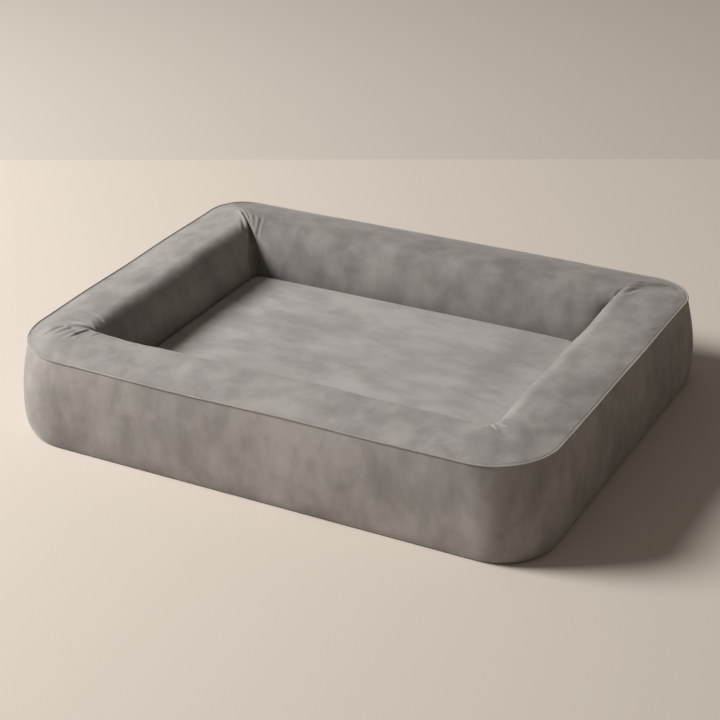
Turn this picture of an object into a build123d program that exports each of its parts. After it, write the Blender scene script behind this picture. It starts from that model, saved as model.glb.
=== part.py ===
from build123d import *
import os

# A bolster pet bed: a padded ring with a piped outer edge, and a loose cushion that lies in its well.
# Millimetres. +X runs along the long front side, +Y to the rear, +Z up.
# The origin is the centre of the footprint, on the floor.

# ---- the padded ring ----
bed_width = 1000.0        # outside, along X
bed_depth = 750.0         # outside, along Y
crown_height = 178.0      # floor to the highest line of the bolster
corner_radius = 110.0     # upright outer corners, in plan
foot_radius = 22.0        # the wall turns under the bed with this radius
bulge_height = 70.0       # up to here the wall stands straight, above it it leans in
welt_height = 165.0       # seam between the wall and the top panels
welt_inset = 9.0          # how far in the wall leans at that seam
crown_inset = 100.0       # from the outer face in to the crown line
bolster_width = 150.0     # from the outer face in to the face that meets the cushion
roll_height = 90.0        # the inner face stands straight up to here, then rolls to the crown
cover_thickness = 2.0     # faced cloth with its backing
wrap_thickness = 12.0     # fibre wadding around the foam
layer_gap = 0.3           # between one layer and the next
piping_radius = 1.5       # cord sewn into the edge seam, with its cloth
piping_proud = 0.6        # how far the cord's centre stands out of the seam, along each way
seam_clearance = 0.15     # around the piping

# ---- the loose cushion ----
pad_fit = 0.5             # all round, between the cushion and the bolster
pad_rest_gap = 0.3        # between the cushion and the cloth that it lies on
pad_top = 92.0            # floor to the top of the cushion
pad_corner_radius = 55.0
pad_top_rounding = 16.0
pad_bottom_rounding = 8.0
pad_seam_drop = 16.5      # from the cushion's top down to the seam of its top panel
pad_seam_rise = 8.5       # from its underside up to the seam of its bottom panel
liner_thickness = 0.8     # waterproof bag around the foam
memory_foam_height = 26.0

# ---- the two zips, both across the rear ----
cover_zip_length = 620.0
cover_zip_height = 46.0   # floor to its centre line
cover_zip_depth = 6.0     # from the cloth's face in to the tape
pad_zip_length = 520.0
pad_zip_rise = 40.0       # from the cushion's underside to the centre line
pad_zip_depth = 3.6       # shallower, because its slider has no pull
slot_height = 12.0        # opening between the two cloth lips
tape_thickness = 0.6
tape_flange = 8.0         # how much tape is sewn behind each lip
coil_height = 1.4
coil_width = 2.2          # of each half
coil_slit = 1.6           # between the two halves
coil_overhang = 0.8       # how far a coil stands out past its tape's edge
stop_length = 3.0
slider_length = 11.0
slider_plate = 1.3
slider_inner_plate = 1.0
slider_cheek = 1.1
slider_clearance = 0.3    # to coil and tape
neck_width = 0.9
neck_length = 6.0
pull_length = 26.0
pull_width = 6.0
pull_thickness = 1.2
pull_bar_radius = 0.7
pull_eye_length = 5.4
pull_eye_width = 3.2
pull_hole_radius = 1.4
pull_axis_rise = 1.0      # from the slider's plate to the axis that the pull turns on
pull_room = 21.0          # more slot past each stop, so that the pull can lie over either way
bridge_width = 2.0
bridge_foot = 1.2
bridge_span = 7.2         # over both feet
bridge_bar = 0.8
bridge_clearance = 0.2    # over the pull's bar
cover_slider_at = cover_zip_length / 2 - slider_length / 2 - 1.0
pad_slider_at = pad_zip_length / 2 - slider_length / 2 - 1.0

# ---- what follows from these ----
base_top = cover_thickness
wrap_inset = cover_thickness + layer_gap
core_inset = wrap_inset + wrap_thickness + layer_gap
coil_outer = coil_slit / 2 + coil_width
slider_width = 2 * (coil_outer + slider_clearance + slider_cheek)
pad_width = bed_width - 2 * bolster_width - 2 * pad_fit
pad_depth = bed_depth - 2 * bolster_width - 2 * pad_fit
pad_bottom = base_top + pad_rest_gap
pad_height = pad_top - pad_bottom
liner_inset = cover_thickness + layer_gap
foam_inset = liner_inset + liner_thickness + layer_gap
memory_foam_bottom = pad_top - foam_inset - memory_foam_height
groove_clearance = 0.5    # behind a slider's inner plate
pocket_behind_tape = tape_thickness + slider_clearance + slider_inner_plate + groove_clearance
pocket_height = slot_height + 2 * (tape_flange + groove_clearance)
cover_slot_length = cover_zip_length + 2 * (stop_length + slider_clearance + pull_room)
pad_slot_length = pad_zip_length + 2 * (stop_length + slider_clearance)

# Each side of the ring has its own ground plane: x along the side, y inwards from the outer face.
sides = {
    "front": (Plane(origin=(0, -bed_depth / 2, 0), x_dir=(1, 0, 0), z_dir=(0, 0, 1)), bed_width),
    "right": (Plane(origin=(bed_width / 2, 0, 0), x_dir=(0, 1, 0), z_dir=(0, 0, 1)), bed_depth),
    "back": (Plane(origin=(0, bed_depth / 2, 0), x_dir=(-1, 0, 0), z_dir=(0, 0, 1)), bed_width),
    "left": (Plane(origin=(-bed_width / 2, 0, 0), x_dir=(0, -1, 0), z_dir=(0, 0, 1)), bed_depth),
}
# Each zip has a seat plane on the cloth's outer face: x along the zip, y up, z out of the cloth.
cover_zip_seat = Plane(origin=(0, bed_depth / 2, cover_zip_height), x_dir=(-1, 0, 0), z_dir=(0, 1, 0))
pad_zip_seat = Plane(
    origin=(0, pad_depth / 2, pad_bottom + pad_zip_rise), x_dir=(-1, 0, 0), z_dir=(0, 1, 0)
)


def across(plane):
    """The upright plane square to a side or a zip: x is the given plane's y, y its normal."""
    return Plane(origin=plane.origin, x_dir=plane.y_dir, z_dir=plane.x_dir)


def block_between(low_x, high_x, low_y, high_y, mode=Mode.ADD):
    """A rectangle given by its edges, for the sketch that is being drawn."""
    with Locations(((low_x + high_x) / 2, (low_y + high_y) / 2)):
        Rectangle(abs(high_x - low_x), abs(high_y - low_y), mode=mode)


# ---- the bolster's cross-section: x inwards from the outer face, y up ----
def welt_point(inset):
    """The corner between wall and top, that much inside the outer surface."""
    return (welt_inset + inset, welt_height - inset)


def wall_line(inset):
    """Foot, upright stretch and leaning stretch of the wall."""
    CenterArc((foot_radius, foot_radius), foot_radius - inset, 180, 90)
    Line((inset, foot_radius), (inset, bulge_height))
    TangentArc((inset, bulge_height), welt_point(inset), tangent=(0, 1))


def top_line(inset, bottom):
    """From the welt over the crown, down the roll and the inner face to the given height."""
    TangentArc((crown_inset, crown_height - inset), welt_point(inset), tangent=(-1, 0))
    EllipticalCenterArc(
        (crown_inset, roll_height),
        bolster_width - crown_inset - inset,
        crown_height - roll_height - inset,
        start_angle=0,
        arc_size=90,
    )
    Line((bolster_width - inset, roll_height), (bolster_width - inset, bottom))


def full_section(inset):
    """Everything inside the cover, that much in from its outer surface."""
    with BuildSketch() as section:
        with BuildLine():
            wall_line(inset)
            top_line(inset, inset)
            Line((bolster_width - inset, inset), (foot_radius, inset))
        make_face()
    return section.sketch


def piping_section(clearance):
    """The round cord in the edge seam, or the groove for it."""
    with BuildSketch() as section:
        with Locations((welt_inset - piping_proud, welt_height + piping_proud)):
            Circle(piping_radius + clearance)
    return section.sketch


with BuildSketch() as wall_band_section:
    with BuildLine():
        wall_line(0)
        wall_line(cover_thickness)
        Line(welt_point(0), welt_point(cover_thickness))
        Line((foot_radius, 0), (foot_radius, cover_thickness))
    make_face()
    add(piping_section(seam_clearance), mode=Mode.SUBTRACT)

with BuildSketch() as top_panel_section:
    with BuildLine():
        top_line(0, base_top)
        top_line(cover_thickness, base_top)
        Line(welt_point(0), welt_point(cover_thickness))
        Line((bolster_width, base_top), (bolster_width - cover_thickness, base_top))
    make_face()
    add(piping_section(seam_clearance), mode=Mode.SUBTRACT)

with BuildSketch() as wadding_section:
    add(full_section(wrap_inset))
    add(full_section(wrap_inset + wrap_thickness), mode=Mode.SUBTRACT)


# ---- taking a cross-section round the ring ----
def corner_axis(ground, run):
    """The upright axis that the outer corner at the far end of a side turns about."""
    return Axis(ground.from_local_coords((run / 2, corner_radius, 0)), (0, 0, 1))


def closed_ring(section):
    """The section taken along all four sides and turned about the four corner axes."""
    with BuildPart() as ring:
        for ground, length in sides.values():
            run = length - 2 * corner_radius
            with BuildSketch(across(ground)):
                add(section)
            extrude(amount=run / 2, both=True)
            with BuildSketch(across(ground).offset(run / 2)):
                add(section)
            revolve(axis=corner_axis(ground, run), revolution_arc=90)
    return ring.part


def mitred_side(ground, length, section):
    """One side of the ring. Its outer part turns half of each corner; its inner part is mitred."""
    run = length - 2 * corner_radius
    end_plane = across(ground).offset(run / 2)
    corner = ground.from_local_coords((run / 2, corner_radius, 0))
    mitre = Plane(origin=corner, z_dir=ground.x_dir + ground.y_dir)
    with BuildPart() as turned_end:
        with BuildSketch(end_plane):
            add(section)
            block_between(0, corner_radius, 0, crown_height, mode=Mode.INTERSECT)
        revolve(axis=corner_axis(ground, run), revolution_arc=45)
    with BuildPart() as side:
        with BuildSketch(across(ground)):
            add(section)
        extrude(amount=run / 2)
        split(bisect_by=mitre, keep=Keep.BOTTOM)
        add(turned_end.part)
        mirror(about=across(ground))
    return side.part


# ---- the cushion's layers ----
def cushion_block(inset):
    """The cushion's shape, that much inside its cover; inner layers make room for the zip."""
    with BuildPart() as block:
        with BuildSketch(Plane.XY.offset(pad_bottom + inset)):
            RectangleRounded(pad_width - 2 * inset, pad_depth - 2 * inset, pad_corner_radius - inset)
        extrude(amount=pad_height - 2 * inset)
        fillet(block.faces().sort_by(Axis.Z)[-1].edges(), pad_top_rounding - inset)
        fillet(block.faces().sort_by(Axis.Z)[0].edges(), pad_bottom_rounding - inset)
        if inset > cover_thickness:
            beyond = inset - liner_inset
            with BuildSketch(pad_zip_seat):
                Rectangle(pad_slot_length + 2 * (groove_clearance + beyond), pocket_height + 2 * beyond)
            extrude(amount=-(pad_zip_depth + pocket_behind_tape + beyond), mode=Mode.SUBTRACT)
    return block.part


# ---- zips ----
def zip_slot(seat, slot_length):
    """What is cut from the cloth to show the coil."""
    with BuildPart() as slot:
        with BuildSketch(seat):
            Rectangle(slot_length, slot_height)
        extrude(amount=-(cover_thickness + layer_gap))
    return slot.part


def zip_tape(seat, slot_length, depth, way):
    """Half of the zip's tape: sewn behind its lip, then stepped in to the coil. way is 1 up, -1 down."""
    lip = slot_height / 2
    behind_cloth = -(cover_thickness + layer_gap)
    coil_edge = coil_slit / 2 + coil_overhang
    with BuildPart() as tape:
        with BuildSketch(across(seat)):
            block_between(
                way * (lip - tape_thickness), way * (lip + tape_flange), behind_cloth - tape_thickness, behind_cloth
            )
            block_between(way * (lip - tape_thickness), way * lip, -depth - tape_thickness, behind_cloth)
            block_between(way * coil_edge, way * lip, -depth - tape_thickness, -depth)
        extrude(amount=slot_length / 2, both=True)
    return tape.part


def zip_coil(seat, zip_length, depth, way):
    with BuildPart() as coil:
        with BuildSketch(across(seat)):
            block_between(way * coil_slit / 2, way * coil_outer, -depth, -depth + coil_height)
        extrude(amount=zip_length / 2, both=True)
    return coil.part


def zip_stops(seat, zip_length, depth):
    """A crimped block across both coils at each end."""
    with BuildPart() as stops:
        with BuildSketch(seat.offset(-depth)):
            with Locations((-(zip_length + stop_length) / 2, 0), ((zip_length + stop_length) / 2, 0)):
                RectangleRounded(stop_length, 2 * coil_outer, stop_length / 4)
        extrude(amount=coil_height + slider_clearance)
    return stops.part


def zip_slider(seat, at, depth, has_bridge):
    """Two plates held apart by a thin neck in the slit, with cheeks beside the coils."""
    here = Plane(origin=seat.from_local_coords((at, 0, 0)), x_dir=seat.x_dir, z_dir=seat.z_dir)
    plate_under = -depth + coil_height + slider_clearance
    inner_plate_top = -depth - tape_thickness - slider_clearance
    cheek_centre = coil_outer + slider_clearance + slider_cheek / 2
    with BuildPart() as slider:
        with BuildSketch(here.offset(plate_under)):
            RectangleRounded(slider_length, slider_width, slider_width / 4)
        extrude(amount=slider_plate)
        with BuildSketch(here.offset(-depth + slider_clearance)):
            with Locations((0, -cheek_centre), (0, cheek_centre)):
                Rectangle(neck_length, slider_cheek)
        extrude(amount=plate_under + depth - slider_clearance)
        with BuildSketch(here.offset(inner_plate_top)):
            Rectangle(neck_length, neck_width)
        extrude(amount=plate_under - inner_plate_top)
        with BuildSketch(here.offset(inner_plate_top)):
            RectangleRounded(slider_length, slider_width, slider_width / 4)
        extrude(amount=-slider_inner_plate)
        if has_bridge:
            plate_top = plate_under + slider_plate
            opening = pull_axis_rise + pull_bar_radius + bridge_clearance
            with BuildSketch(Plane(origin=here.origin, x_dir=here.x_dir, z_dir=-here.y_dir)):
                block_between(-bridge_span / 2, bridge_span / 2, plate_top, plate_top + opening + bridge_bar)
                half_opening = bridge_span / 2 - bridge_foot
                block_between(
                    -half_opening, half_opening, plate_top, plate_top + opening, mode=Mode.SUBTRACT
                )
            extrude(amount=bridge_width / 2, both=True)
    return slider.part


def zip_pull(seat, at, depth):
    """A flat tab with an eye, on a round bar that lies under the slider's bridge."""
    axis_height = -depth + coil_height + slider_clearance + slider_plate + pull_axis_rise
    here = Plane(origin=seat.from_local_coords((at, 0, axis_height)), x_dir=seat.x_dir, z_dir=seat.z_dir)
    with BuildPart() as pull:
        with BuildSketch(here.offset(-pull_thickness / 2)):
            block_between(-pull_length + pull_width / 2, 0, -pull_width / 2, pull_width / 2)
            with Locations((-pull_length + pull_width / 2, 0)):
                Circle(pull_width / 2)
                Circle(pull_hole_radius, mode=Mode.SUBTRACT)
            block_between(-pull_eye_length, 0, -pull_eye_width / 2, pull_eye_width / 2, mode=Mode.SUBTRACT)
        extrude(amount=pull_thickness)
        with BuildSketch(Plane(origin=here.origin, x_dir=here.x_dir, z_dir=here.y_dir)):
            Circle(pull_bar_radius)
        extrude(amount=pull_width / 2, both=True)
    return pull.part


# ---- the pieces ----
pieces = {}

with BuildPart() as wall_band:
    add(closed_ring(wall_band_section.sketch))
    add(zip_slot(cover_zip_seat, cover_slot_length), mode=Mode.SUBTRACT)
pieces["wall_band"] = wall_band.part

with BuildPart() as base_panel:
    with BuildSketch():
        RectangleRounded(
            bed_width - 2 * foot_radius, bed_depth - 2 * foot_radius, corner_radius - foot_radius
        )
    extrude(amount=base_top)
pieces["base_panel"] = base_panel.part

pieces["edge_piping"] = closed_ring(piping_section(0))

for side_name, (ground, length) in sides.items():
    pieces[f"bolster_panel_{side_name}"] = mitred_side(ground, length, top_panel_section.sketch)
    with BuildPart() as wadding:
        add(mitred_side(ground, length, wadding_section.sketch))
        if side_name == "back":
            with BuildSketch(cover_zip_seat):
                Rectangle(cover_slot_length + 2 * groove_clearance, pocket_height)
            extrude(amount=-(cover_zip_depth + pocket_behind_tape), mode=Mode.SUBTRACT)
    pieces[f"bolster_wadding_{side_name}"] = wadding.part
    pieces[f"bolster_foam_{side_name}"] = mitred_side(ground, length, full_section(core_inset))

for zip_name, seat, zip_length, slot_length, depth, slider_at, has_pull in (
    ("cover_zip", cover_zip_seat, cover_zip_length, cover_slot_length, cover_zip_depth, cover_slider_at, True),
    ("pad_zip", pad_zip_seat, pad_zip_length, pad_slot_length, pad_zip_depth, pad_slider_at, False),
):
    for half, way in (("upper", 1), ("lower", -1)):
        pieces[f"{zip_name}_tape_{half}"] = zip_tape(seat, slot_length, depth, way)
        pieces[f"{zip_name}_coil_{half}"] = zip_coil(seat, zip_length, depth, way)
    pieces[f"{zip_name}_stops"] = zip_stops(seat, zip_length, depth)
    pieces[f"{zip_name}_slider"] = zip_slider(seat, slider_at, depth, has_pull)
    if has_pull:
        pieces[f"{zip_name}_pull"] = zip_pull(seat, slider_at, depth)

top_seam = Plane.XY.offset(pad_top - pad_seam_drop)
bottom_seam = Plane.XY.offset(pad_bottom + pad_seam_rise)

with BuildPart() as pad_cover:
    add(cushion_block(0))
    add(cushion_block(cover_thickness), mode=Mode.SUBTRACT)

with BuildPart() as pad_top_panel:
    add(pad_cover.part)
    split(bisect_by=top_seam, keep=Keep.TOP)
pieces["pad_top_panel"] = pad_top_panel.part

with BuildPart() as pad_border:
    add(pad_cover.part)
    split(bisect_by=top_seam, keep=Keep.BOTTOM)
    split(bisect_by=bottom_seam, keep=Keep.TOP)
    add(zip_slot(pad_zip_seat, pad_slot_length), mode=Mode.SUBTRACT)
pieces["pad_border"] = pad_border.part

with BuildPart() as pad_bottom_panel:
    add(pad_cover.part)
    split(bisect_by=bottom_seam, keep=Keep.BOTTOM)
pieces["pad_bottom_panel"] = pad_bottom_panel.part

with BuildPart() as pad_liner:
    add(cushion_block(liner_inset))
    add(cushion_block(liner_inset + liner_thickness), mode=Mode.SUBTRACT)
pieces["pad_liner"] = pad_liner.part

foam_joint = Plane.XY.offset(memory_foam_bottom)

with BuildPart() as pad_memory_foam:
    add(cushion_block(foam_inset))
    split(bisect_by=foam_joint, keep=Keep.TOP)
pieces["pad_memory_foam"] = pad_memory_foam.part

with BuildPart() as pad_support_foam:
    add(cushion_block(foam_inset))
    split(bisect_by=foam_joint, keep=Keep.BOTTOM)
pieces["pad_support_foam"] = pad_support_foam.part

os.makedirs("parts", exist_ok=True)
for name, part in pieces.items():
    part.label = name
    export_step(part, f"parts/{name}.step")
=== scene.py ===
import bpy
import math
import numpy as np
from mathutils import Matrix, Vector


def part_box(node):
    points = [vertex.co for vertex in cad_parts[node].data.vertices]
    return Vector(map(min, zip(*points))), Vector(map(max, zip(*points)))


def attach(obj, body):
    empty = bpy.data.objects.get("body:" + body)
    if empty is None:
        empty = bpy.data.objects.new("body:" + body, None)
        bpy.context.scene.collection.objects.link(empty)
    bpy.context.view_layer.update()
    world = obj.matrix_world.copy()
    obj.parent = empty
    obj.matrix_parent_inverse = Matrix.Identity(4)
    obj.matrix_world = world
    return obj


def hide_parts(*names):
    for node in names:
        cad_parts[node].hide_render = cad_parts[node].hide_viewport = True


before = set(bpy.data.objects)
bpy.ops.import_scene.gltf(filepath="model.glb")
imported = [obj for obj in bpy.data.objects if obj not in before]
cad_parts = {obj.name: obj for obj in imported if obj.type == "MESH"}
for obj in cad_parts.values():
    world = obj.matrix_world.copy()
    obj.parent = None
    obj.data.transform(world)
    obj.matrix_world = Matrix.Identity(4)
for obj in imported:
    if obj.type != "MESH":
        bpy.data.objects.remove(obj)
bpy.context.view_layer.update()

MM = 0.001


# ---- sizes, read from the frame ----
half_width, half_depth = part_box("wall_band")[1].x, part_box("wall_band")[1].y
piping_low, piping_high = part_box("edge_piping")
piping_radius = (piping_high.z - piping_low.z) / 2
welt_height = (piping_high.z + piping_low.z) / 2
welt_inset = half_width - piping_high.x + piping_radius
crown_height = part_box("bolster_panel_front")[1].z
bolster_width = half_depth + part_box("bolster_panel_front")[1].y
base_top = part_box("base_panel")[1].z
pad_low, pad_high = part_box("pad_bottom_panel")[0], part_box("pad_top_panel")[1]
SIDES = ("front", "right", "back", "left")

# ---- the ring's own shape ----
CLOTH = 1.6 * MM
CORNER_RADIUS = 108 * MM
# Each corner is stuffed a little differently: front left, front right, back right, back left.
CORNER_FULLNESS = (1.18, 1.0, 0.76, 0.62)
FOOT_TIGHTNESS = 0.84      # the corners are tighter at the foot than at the welt, by this share
INNER_RADIUS = 3 * MM      # how tightly the cloth turns in the well's corners
FOOT_INSET = 15 * MM       # the wall turns under by this much
BULGE_HEIGHT = 74 * MM     # the wall is widest here
FOOT_SQUARENESS = 3.2
CROWN_INSET = 101 * MM
TOP_DROP = 80 * MM         # height of the flat oval that the top's outer half follows
ROLL_HEIGHT = 90 * MM
FINE_STEP = 2.6 * MM       # mesh spacing near the corners, where the cloth folds
COARSE_STEP = 7.5 * MM
FOLD_ZONE = 135 * MM       # how far from a corner the mesh is fine
FOLD_STRENGTH = 1.2        # all folds are this much deeper than the list below says
FOLD_REACH = 240 * MM      # folds lie within this distance of a corner
FOLD_FLOOR = 100 * MM      # and above this height
KNUCKLE_PLACE = 82 * MM    # in from both faces of a corner
KNUCKLE_REACH = 45 * MM


# ---- small tools ----
def add_node(tree, kind, values=None, links=None, **settings):
    """Adds a node, sets it up, gives its sockets their values and joins it to what feeds it."""
    made = tree.nodes.new(kind)
    for key, value in settings.items():
        setattr(made, key, value)
    for key, value in (values or {}).items():
        made.inputs[key].default_value = value
    for key, source in (links or {}).items():
        tree.links.new(source, made.inputs[key])
    return made


def linear(colour):
    """An sRGB hex colour as the linear RGBA that a shader wants."""
    parts = [int(colour[i : i + 2], 16) / 255 for i in (1, 3, 5)]
    return tuple(c / 12.92 if c <= 0.04045 else ((c + 0.055) / 1.055) ** 2.4 for c in parts) + (1.0,)


def smooth_step(x):
    x = np.clip(x, 0, 1)
    return x * x * (3 - 2 * x)


def piece(name, points, faces, material, body, slot, smooth=True):
    """A mesh object that rides on a body and takes the material given. The slot is not used."""
    mesh = bpy.data.meshes.new(name)
    mesh.from_pydata([tuple(p) for p in points], [], [tuple(int(i) for i in f) for f in faces])
    mesh.update()
    made = bpy.data.objects.new(name, mesh)
    bpy.context.scene.collection.objects.link(made)
    mesh.materials.append(material)
    if smooth:
        mesh.shade_smooth()
    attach(made, body)
    return made


def grid_faces(rows, columns, closed=False, keep=None):
    """Quads over a grid of points, counted row by row. keep, if given, says which quads exist."""
    last = rows if closed else rows - 1
    i, j = np.meshgrid(np.arange(last), np.arange(columns - 1), indexing="ij")
    if keep is not None:
        i, j = i[keep], j[keep]
    i, j = i.ravel(), j.ravel()
    k = (i + 1) % rows
    return np.stack([i * columns + j, k * columns + j, k * columns + j + 1, i * columns + j + 1], 1)


def cloth_piece(name, outer, normals, material, body, slot, closed=False, keep=None):
    """Cloth of real thickness over a grid of points. The normals are those of the whole surface, so
    that two pieces that meet at a seam take the light alike there."""
    rows, columns = outer.shape[:2]
    points = np.concatenate([outer.reshape(-1, 3), (outer - normals * CLOTH).reshape(-1, 3)])
    faces = grid_faces(rows, columns, closed, keep)
    edges = np.concatenate([faces[:, [0, 1]], faces[:, [1, 2]], faces[:, [2, 3]], faces[:, [3, 0]]])
    code = edges.min(1) * (rows * columns) + edges.max(1)
    _, first, count = np.unique(code, return_index=True, return_counts=True)
    rim = edges[first[count == 1]]
    rim_faces = np.stack([rim[:, 1], rim[:, 0], rim[:, 0] + rows * columns, rim[:, 1] + rows * columns], 1)
    made = piece(name, points, [*faces, *(faces[:, ::-1] + rows * columns), *rim_faces], material, body, slot)
    flat = normals.reshape(-1, 3)
    made.data.normals_split_custom_set_from_vertices([tuple(n) for n in np.concatenate([flat, -flat])])
    return made


def give_thickness(made, thickness):
    """Makes cloth of a surface: the mesh is the outer face, and the inner one lies behind it."""
    solid = made.modifiers.new("cloth", "SOLIDIFY")
    solid.thickness = thickness
    solid.offset = -1
    return made


def ripple(points, wavelength, seed):
    """Gentle unevenness between -1 and 1, about that long from crest to crest."""
    rng = np.random.RandomState(seed)
    total = np.zeros(points.shape[:-1])
    for _ in range(9):
        direction = rng.normal(size=3)
        direction /= np.linalg.norm(direction)
        wave = 2 * math.pi / (wavelength * rng.uniform(0.7, 1.5))
        total += np.sin(points @ direction * wave + rng.uniform(0, 2 * math.pi))
    return total / 4.5


def grid_normals(points, closed):
    """Outward normals of a grid of points whose rows run round the bed."""
    if closed:
        along = np.roll(points, -1, 0) - np.roll(points, 1, 0)
    else:
        along = np.gradient(points, axis=0)
    normals = np.cross(along, np.gradient(points, axis=1))
    return normals / (np.linalg.norm(normals, axis=-1, keepdims=True) + 1e-12)


# ---- the bolster's cross-section: inset from the outer face, and height ----
def wall_line(count_foot=16, count_wall=22):
    """From the floor round the foot and up the wall to the welt."""
    turn = np.linspace(0, math.pi / 2, count_foot)
    power = 2 / FOOT_SQUARENESS
    foot = np.stack([FOOT_INSET * (1 - np.sin(turn) ** power), BULGE_HEIGHT * (1 - np.cos(turn) ** power)], 1)
    rise = np.linspace(0, 1, count_wall)[1:]
    wall = np.stack([welt_inset * rise**2, BULGE_HEIGHT + (welt_height - BULGE_HEIGHT) * rise], 1)
    return np.concatenate([foot, wall])


def top_line(count_top=38, count_roll=34, count_face=20):
    """From the welt over the crown, down the roll and the inner face to the base cloth."""
    centre = crown_height - TOP_DROP
    lift = (welt_height - centre) / TOP_DROP
    reach = (CROWN_INSET - welt_inset) / math.sqrt(1 - lift**2)
    turn = np.linspace(math.asin(lift), math.pi / 2, count_top)
    top = np.stack([CROWN_INSET - reach * np.cos(turn), centre + TOP_DROP * np.sin(turn)], 1)
    roll_depth, roll_drop = bolster_width - CROWN_INSET, crown_height - ROLL_HEIGHT
    turn = np.linspace(0, math.pi / 2, count_roll)[1:]
    roll = np.stack([CROWN_INSET + roll_depth * np.sin(turn), ROLL_HEIGHT + roll_drop * np.cos(turn)], 1)
    down = np.linspace(0, 1, count_face)[1:]
    face = np.stack([np.full(len(down), bolster_width), ROLL_HEIGHT + (base_top - ROLL_HEIGHT) * down], 1)
    return np.concatenate([top, roll, face])


# ---- stations round the ring ----
def stations(length):
    """Places along one side, as (share of the straight, angle about the corner), mitre to mitre."""
    straight = length - 2 * CORNER_RADIUS
    fine = np.arange(0, FOLD_ZONE, FINE_STEP)
    middle = np.linspace(FOLD_ZONE, straight - FOLD_ZONE, int((straight - 2 * FOLD_ZONE) / COARSE_STEP) + 1)
    share = np.concatenate([fine, middle, straight - fine[::-1]]) / straight
    arc = np.linspace(0, 45, 22)[1:]
    return [(0.0, -a) for a in arc[::-1]] + [(s, 0.0) for s in share] + [(1.0, a) for a in arc]


def side_frame(index):
    """(along, outward, half length, half distance across) of a side."""
    outward = [Vector((0, -1, 0)), Vector((1, 0, 0)), Vector((0, 1, 0)), Vector((-1, 0, 0))][index]
    along = Vector((0, 0, 1)).cross(outward)
    half_along, half_across = (half_width, half_depth) if index % 2 == 0 else (half_depth, half_width)
    return np.array(along), np.array(outward), half_along, half_across


def ring_points(line, radius_of):
    """The cross-section line taken round the bed. Gives the points and where each side starts."""
    inset, height = line[:, 0], line[:, 1]
    radius = radius_of(inset, height)
    rows, starts = [], []
    for index in range(4):
        along, outward, half_along, half_across = side_frame(index)
        starts.append(len(rows))
        for share, angle in stations(2 * half_along)[:-1]:
            turn = math.radians(angle)
            start, end = radius * CORNER_FULLNESS[index], radius * CORNER_FULLNESS[(index + 1) % 4]
            here = start if share < 0.5 else end
            a = (half_along - inset - end) * share - (half_along - inset - start) * (1 - share)
            a = a + here * math.sin(turn)
            out = half_across - inset - here * (1 - math.cos(turn))
            row = a[:, None] * along + out[:, None] * outward
            row[:, 2] = height
            rows.append(row)
    return np.array(rows), starts


def wall_radius(inset, height):
    return CORNER_RADIUS * (FOOT_TIGHTNESS + (1 - FOOT_TIGHTNESS) * smooth_step(height / welt_height))


def top_radius(inset, height):
    """The outer corner's radius, less the inset, never tighter than the cloth can turn."""
    left = CORNER_RADIUS - (inset - welt_inset)
    soft = 11 * MM
    return INNER_RADIUS + soft * np.log1p(np.exp((left - INNER_RADIUS) / soft))


# ---- how the cloth lies ----
def settle(points):
    """The slow unevenness that wall, welt, stitches and top share, so that they stay together."""
    low = smooth_step((points[..., 2] - 8 * MM) / (60 * MM))
    moved = points.copy()
    moved[..., 0] += low * 1.3 * MM * ripple(points, 0.34, 3)
    moved[..., 1] += low * 1.3 * MM * ripple(points, 0.34, 4)
    moved[..., 2] += low * 1.1 * MM * ripple(points, 0.30, 5)
    return moved


# Folds near each corner of the ring, as (kind, depth mm, width mm, points). A point is
# (inset from the short side's face, inset from the long side's face) in mm, from the deep end on.
# Each fold starts at the well's corner, where the cloth has most to spare, and runs out over the roll.
FOLDS = {
    ("left", "front"): [
        ("crease", 4.6, 2.5, [(132, 125), (95, 108), (70, 101), (50, 84)]),
        ("crease", 3.4, 2.4, [(90, 107), (71, 86), (59, 46)]),
        ("crease", 2.6, 2.6, [(100, 100), (90, 86), (81, 60)]),
        ("crease", 2.6, 2.4, [(126, 112), (119, 88), (116, 62)]),
        ("crease", 1.6, 2.6, [(152, 116), (147, 100), (142, 88)]),
        ("crease", 1.3, 2.4, [(112, 96), (104, 76), (98, 50)]),
        ("crease", 3.0, 2.4, [(124, 128), (91, 133), (48, 125)]),
        ("crease", 2.4, 2.6, [(116, 136), (72, 140), (34, 136)]),
        ("crease", 1.3, 2.6, [(104, 120), (74, 118), (44, 108)]),
        ("crease", 1.4, 4.0, [(122, 158), (82, 166), (43, 164)]),
    ],
    ("left", "back"): [
        ("crease", 4.2, 2.8, [(146, 144), (112, 112), (83, 82), (55, 60)]),
        ("crease", 2.4, 2.4, [(134, 126), (100, 90), (66, 54)]),
        ("crease", 2.2, 2.6, [(149, 136), (141, 106), (124, 80)]),
        ("crease", 1.4, 2.6, [(138, 124), (124, 100), (108, 78)]),
        ("crease", 1.6, 4.0, [(142, 176), (132, 148), (116, 118)]),
        ("crease", 1.2, 3.0, [(128, 148), (106, 118), (92, 98)]),
    ],
    ("right", "back"): [
        ("step", 9.0, 4.4, [(128, 215), (118, 150), (108, 86), (98, 54), (76, 34)]),
        ("step", 5.0, 3.6, [(108, 100), (88, 70), (66, 46), (44, 46), (28, 60)]),
        ("crease", 2.2, 2.8, [(124, 150), (122, 118), (118, 88)]),
        ("crease", 1.4, 3.2, [(104, 132), (94, 106), (82, 90)]),
    ],
    ("right", "front"): [
        ("crease", 4.2, 2.6, [(132, 124), (116, 136), (106, 144)]),
        ("crease", 3.8, 2.4, [(126, 124), (114, 129), (98, 134)]),
        ("crease", 3.8, 2.4, [(126, 120), (112, 117), (94, 110)]),
        ("crease", 2.0, 2.6, [(128, 116), (118, 106), (104, 96)]),
        ("crease", 2.2, 12.0, [(116, 116), (96, 96), (72, 76)]),
    ],
}


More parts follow.
